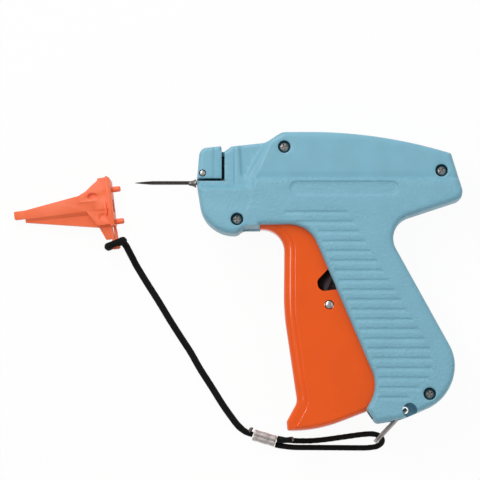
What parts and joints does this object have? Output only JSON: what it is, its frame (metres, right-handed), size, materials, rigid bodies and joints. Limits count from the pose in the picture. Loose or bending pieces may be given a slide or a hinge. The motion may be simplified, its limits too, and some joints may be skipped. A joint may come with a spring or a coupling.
{
  "type": "garment tagging gun",
  "caption": "Hand tool that pushes plastic tag fasteners through a hollow needle: two-part pistol housing, squeeze trigger, lever-driven push rod and a needle cap on a cord.",
  "frame": {"origin": "centre of the gun's outline, without the cord and what is on it, on the surface that its right side lies on", "axes": "+X from the needle to the tail, +Y from the foot of the grip to the top of the housing, +Z out of the left side, which faces up"},
  "size_m": [0.2067, 0.146, 0.026],
  "materials": {
    "blue_abs": "fine moulded texture, satin",
    "orange_abs": "smooth gloss",
    "orange_polypropylene": "satin, slightly waxy",
    "white_acetal": "satin",
    "steel": "ground",
    "dark_steel": "dark, lightly oiled",
    "tinned_steel": "bright",
    "black_cord": "braided polyester"
  },
  "bodies": {
    "housing": {"left_shell": "blue_abs", "right_shell": "blue_abs", "nose_block": "blue_abs", "nose_pin": "steel", "needle": "dark_steel", "needle_base": "steel", "knife_blade": "steel", "screw_top": "dark_steel", "screw_rear": "dark_steel", "screw_nose": "dark_steel", "screw_grip": "dark_steel", "lever_pivot_pin": "steel", "return_spring": "steel", "feed_axle": "steel", "feed_detent": "steel", "needle_cap": "orange_polypropylene", "cap_knot": "black_cord", "lanyard_ring": "tinned_steel", "cord_ferrule": "tinned_steel", "tether_cord": "black_cord", "cord_loop": "black_cord", "cord_tail": "black_cord", "cord_stub": "black_cord"},
    "trigger": {"trigger": "orange_abs", "trigger_link_pin": "steel"},
    "lever": {"drive_lever": "dark_steel", "lever_top_pin": "steel"},
    "slider": {"slider": "white_acetal", "push_rod": "steel", "feed_pawl": "steel"},
    "feed_wheel": {"feed_wheel": "white_acetal"}
  },
  "joints": [
    {"name": "trigger_squeeze", "type": "hinge", "parent": "housing", "child": "trigger", "pos_m": [0.011, 0.033, 0.013], "axis": [0, 0, 1], "range_deg": [0, 10.5], "stiffness_Nm_per_rad": 5.5, "springref_deg": -4.01},
    {"name": "lever_swing", "type": "hinge", "parent": "housing", "child": "lever", "pos_m": [0.017, -0.0005, 0.013], "axis": [0, 0, 1], "range_deg": [0, 44.7], "deforming": ["return_spring"]},
    {"name": "slider_travel", "type": "slide", "parent": "housing", "child": "slider", "axis": [-1, 0, 0], "range_m": [0, 0.0351]},
    {"name": "feed_wheel_turn", "type": "hinge", "parent": "housing", "child": "feed_wheel", "pos_m": [-0.0295, 0.0531, 0.013], "axis": [0, 0, 1], "continuous": true}
  ],
  "couplings": [
    {"joint": "lever_swing", "follows": "trigger_squeeze", "ratio": 4.2463},
    {"joint": "slider_travel", "follows": "trigger_squeeze", "m_per_rad": 0.19085}
  ]
}
